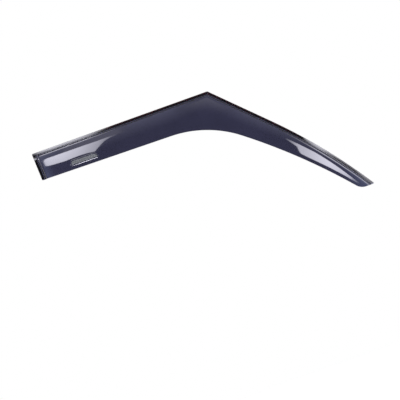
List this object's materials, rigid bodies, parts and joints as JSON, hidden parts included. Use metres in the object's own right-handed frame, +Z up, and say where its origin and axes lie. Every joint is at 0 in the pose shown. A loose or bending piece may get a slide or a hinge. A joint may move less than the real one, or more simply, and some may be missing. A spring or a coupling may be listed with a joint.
{
  "type": "window rain deflector",
  "caption": "Smoked acrylic window rain deflector for a front door: a tape-backed flange along roof edge and pillar, and a convex body that stands off the glass.",
  "frame": {"origin": "middle of the roof strip's bonding face, where the peeled tape meets the door frame", "axes": "+X forwards along the roof edge of a right-hand front door, +Y into the car, square to the bonding face, +Z up"},
  "size_m": [0.762, 0.0242, 0.349],
  "materials": {
    "smoked_acrylic": "polished dark smoke",
    "plate_metal": "satin, bare",
    "tape": "closed-cell foam",
    "liner": "thin film"
  },
  "bodies": {
    "root": {"visor_shell": "smoked_acrylic", "badge_plate": "plate_metal", "roof_tape": "tape", "pillar_tape": "tape", "corner_tape": "tape", "rear_tape": "tape", "roof_liner": "liner", "pillar_liner": "liner", "corner_liner": "liner", "rear_liner": "liner"}
  },
  "joints": []
}
